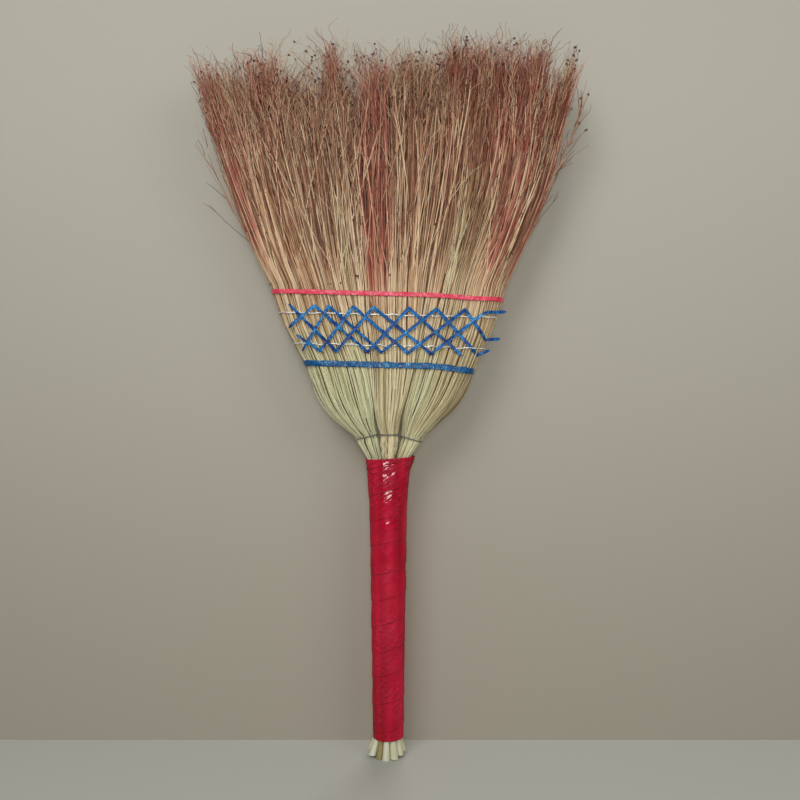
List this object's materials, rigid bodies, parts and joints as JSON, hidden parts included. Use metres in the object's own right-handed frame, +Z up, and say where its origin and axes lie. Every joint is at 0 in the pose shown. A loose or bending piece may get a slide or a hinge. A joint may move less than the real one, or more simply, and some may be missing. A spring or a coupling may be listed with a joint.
{
  "type": "hand broom",
  "caption": "Hand broom: a flat fan of sorghum straw, tied in bunches side by side and stitched across the shoulder, on a straight round handle wound in shiny plastic film.",
  "frame": {"origin": "centre of the cut stalk ends, on the floor that the broom stands on", "axes": "+Z up along the handle from the stalk ends to the straw's tips, +X across the fan to the right, front of the broom towards -Y"},
  "size_m": [0.4292, 0.0654, 0.7985],
  "materials": {
    "straw": "dry pale straw, matt",
    "sweeping_straw": "straw with rose-brown tips, matt",
    "grain": "dark dry seed",
    "stalk": "smooth dry stalk",
    "wire": "galvanised",
    "film": "wrinkled glossy film",
    "tie_thread": "thin dark thread",
    "clear_thread": "silvery clear thread",
    "blue_foil": "metallic blue foil ribbon",
    "red_foil": "pink-red foil ribbon"
  },
  "bodies": {
    "root": {"left_bunch": "straw", "middle_bunch": "straw", "right_bunch": "straw", "left_bristles": "sweeping_straw", "middle_bristles": "sweeping_straw", "right_bristles": "sweeping_straw", "left_grains": "grain", "middle_grains": "grain", "right_grains": "grain", "left_stalks": "stalk", "middle_stalks": "stalk", "right_stalks": "stalk", "foot_binding": "wire", "grip_binding": "wire", "collar_binding": "wire", "handle_film": "film", "left_neck_tie": "tie_thread", "middle_neck_tie": "tie_thread", "right_neck_tie": "tie_thread", "blue_ribbon": "blue_foil", "red_ribbon": "red_foil", "lower_thread": "clear_thread", "upper_thread": "clear_thread", "lacing_ribbon_first": "blue_foil", "lacing_ribbon_second": "blue_foil", "lacing_ribbon_third": "blue_foil", "lacing_ribbon_fourth": "blue_foil"}
  },
  "joints": []
}
